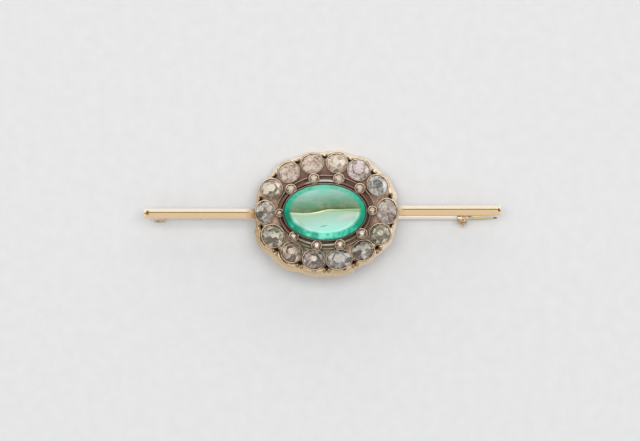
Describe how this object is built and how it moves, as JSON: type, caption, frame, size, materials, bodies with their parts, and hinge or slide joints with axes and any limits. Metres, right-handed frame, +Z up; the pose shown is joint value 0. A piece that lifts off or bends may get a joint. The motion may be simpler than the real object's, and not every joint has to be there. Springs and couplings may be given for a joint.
{
  "type": "bar brooch",
  "caption": "Gold knife-edge bar brooch with an oval cabochon in two oval rows of collet-set stones, pin and safety catch.",
  "frame": {"origin": "centre of the footprint of the lying brooch, on the surface it lies on", "axes": "+X along the bar from the hinge to the catch, +Y across the bar towards the top of the cluster, +Z up"},
  "size_m": [0.06, 0.0214, 0.0076],
  "materials": {
    "gold": "polished yellow gold",
    "pin_gold": "polished pale gold wire",
    "silver": "darkened antique silver",
    "emerald": "polished green cabochon with a closed back",
    "diamond": "polished rose cut over foil"
  },
  "bodies": {
    "brooch": {"gold_frame": "gold", "silver_front": "silver", "emerald": "emerald", "rose_diamond_01": "diamond", "rose_diamond_02": "diamond", "rose_diamond_03": "diamond", "rose_diamond_04": "diamond", "rose_diamond_05": "diamond", "rose_diamond_06": "diamond", "rose_diamond_07": "diamond", "rose_diamond_08": "diamond", "rose_diamond_09": "diamond", "rose_diamond_10": "diamond", "rose_diamond_11": "diamond", "rose_diamond_12": "diamond", "rose_diamond_13": "diamond", "rose_diamond_14": "diamond", "small_diamond_01": "diamond", "small_diamond_02": "diamond", "small_diamond_03": "diamond", "small_diamond_04": "diamond", "small_diamond_05": "diamond", "small_diamond_06": "diamond", "small_diamond_07": "diamond", "small_diamond_08": "diamond", "small_diamond_09": "diamond", "small_diamond_10": "diamond", "hinge_rivet": "gold"},
    "pin": {"pin_stem": "pin_gold"},
    "catch_lever": {"catch_sleeve": "gold"}
  },
  "joints": [
    {"name": "pin_hinge", "type": "hinge", "parent": "brooch", "child": "pin", "pos_m": [-0.0275, -0.00074, 0.00102], "axis": [0, 0.9728, -0.2315], "range_deg": [0, 85]},
    {"name": "catch_turn", "type": "hinge", "parent": "brooch", "child": "catch_lever", "pos_m": [0.0236, -0.00074, 0.00102], "axis": [1, 0, 0], "range_deg": [0, 90]}
  ]
}
